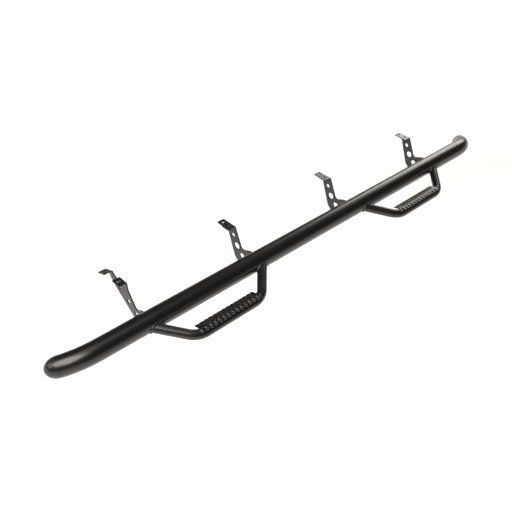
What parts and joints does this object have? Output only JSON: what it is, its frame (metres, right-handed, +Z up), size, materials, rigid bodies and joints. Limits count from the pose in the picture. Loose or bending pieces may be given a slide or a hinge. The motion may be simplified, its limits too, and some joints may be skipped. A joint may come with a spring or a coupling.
{
  "type": "running board",
  "caption": "Tubular running board in black powder coat: a long bar with domed inward-bent ends, drop-step hoops with toothed tread pads, and bolt-on plate brackets.",
  "frame": {"origin": "the flat top of the second bracket's flange, midway between its two bolt holes", "axes": "+X along the bar towards the vehicle's rear, +Y inboard towards the vehicle, +Z up and out of the mounting faces"},
  "size_m": [2.4581, 0.3983, 0.1669],
  "materials": {
    "powder_coat": "satin black fine-texture powder coat on steel tube and plate",
    "pad_coat": "satin black coated stamped steel tread",
    "weld_coat": "rippled weld bead under black powder coat"
  },
  "bodies": {
    "root": {"main_tube": "powder_coat", "end_cap_front": "powder_coat", "end_cap_rear": "powder_coat", "step_hoop_front": "powder_coat", "step_hoop_rear": "powder_coat", "step_pad_front": "pad_coat", "step_pad_rear": "pad_coat", "bracket_front": "powder_coat", "bracket_second": "powder_coat", "bracket_third": "powder_coat", "bracket_rear": "powder_coat", "hoop_weld_front_a": "weld_coat", "hoop_weld_front_b": "weld_coat", "hoop_weld_rear_a": "weld_coat", "hoop_weld_rear_b": "weld_coat", "pad_weld_front_a": "weld_coat", "pad_weld_front_b": "weld_coat", "pad_weld_rear_a": "weld_coat", "pad_weld_rear_b": "weld_coat", "bracket_weld_front_a": "weld_coat", "bracket_weld_front_b": "weld_coat", "bracket_weld_second_a": "weld_coat", "bracket_weld_second_b": "weld_coat", "bracket_weld_third_a": "weld_coat", "bracket_weld_third_b": "weld_coat", "bracket_weld_rear_a": "weld_coat", "bracket_weld_rear_b": "weld_coat"}
  },
  "joints": []
}
